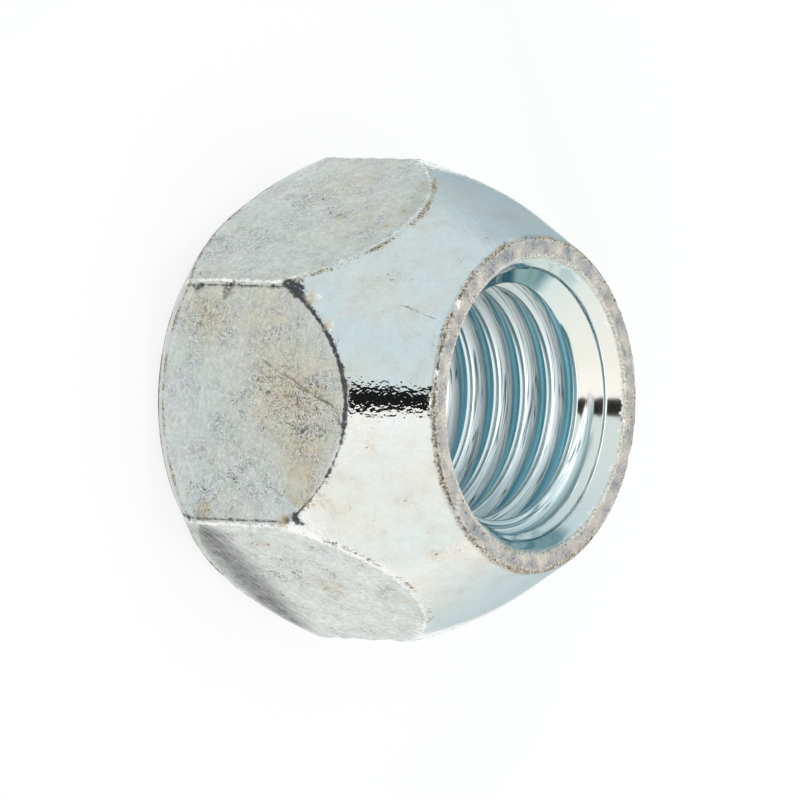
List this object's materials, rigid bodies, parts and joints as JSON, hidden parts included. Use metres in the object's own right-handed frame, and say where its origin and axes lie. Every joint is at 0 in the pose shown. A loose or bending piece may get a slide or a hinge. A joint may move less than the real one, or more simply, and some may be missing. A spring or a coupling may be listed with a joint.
{
  "type": "lug nut",
  "caption": "Open-ended zinc-plated steel lug nut: a hexagon body with a cone seat that rolls over into its corners and a countersunk, threaded through hole.",
  "frame": {"origin": "centre of the flat back face, on the thread's axis", "axes": "+Z along the thread's axis, from the back face to the cone; +X through the middle of one flat"},
  "size_m": [0.019, 0.0218, 0.015],
  "materials": {
    "zinc_plate": "bright zinc plating with a clear blue passivation, scuffed on the flats"
  },
  "bodies": {
    "root": {"lug_nut": "zinc_plate"}
  },
  "joints": []
}
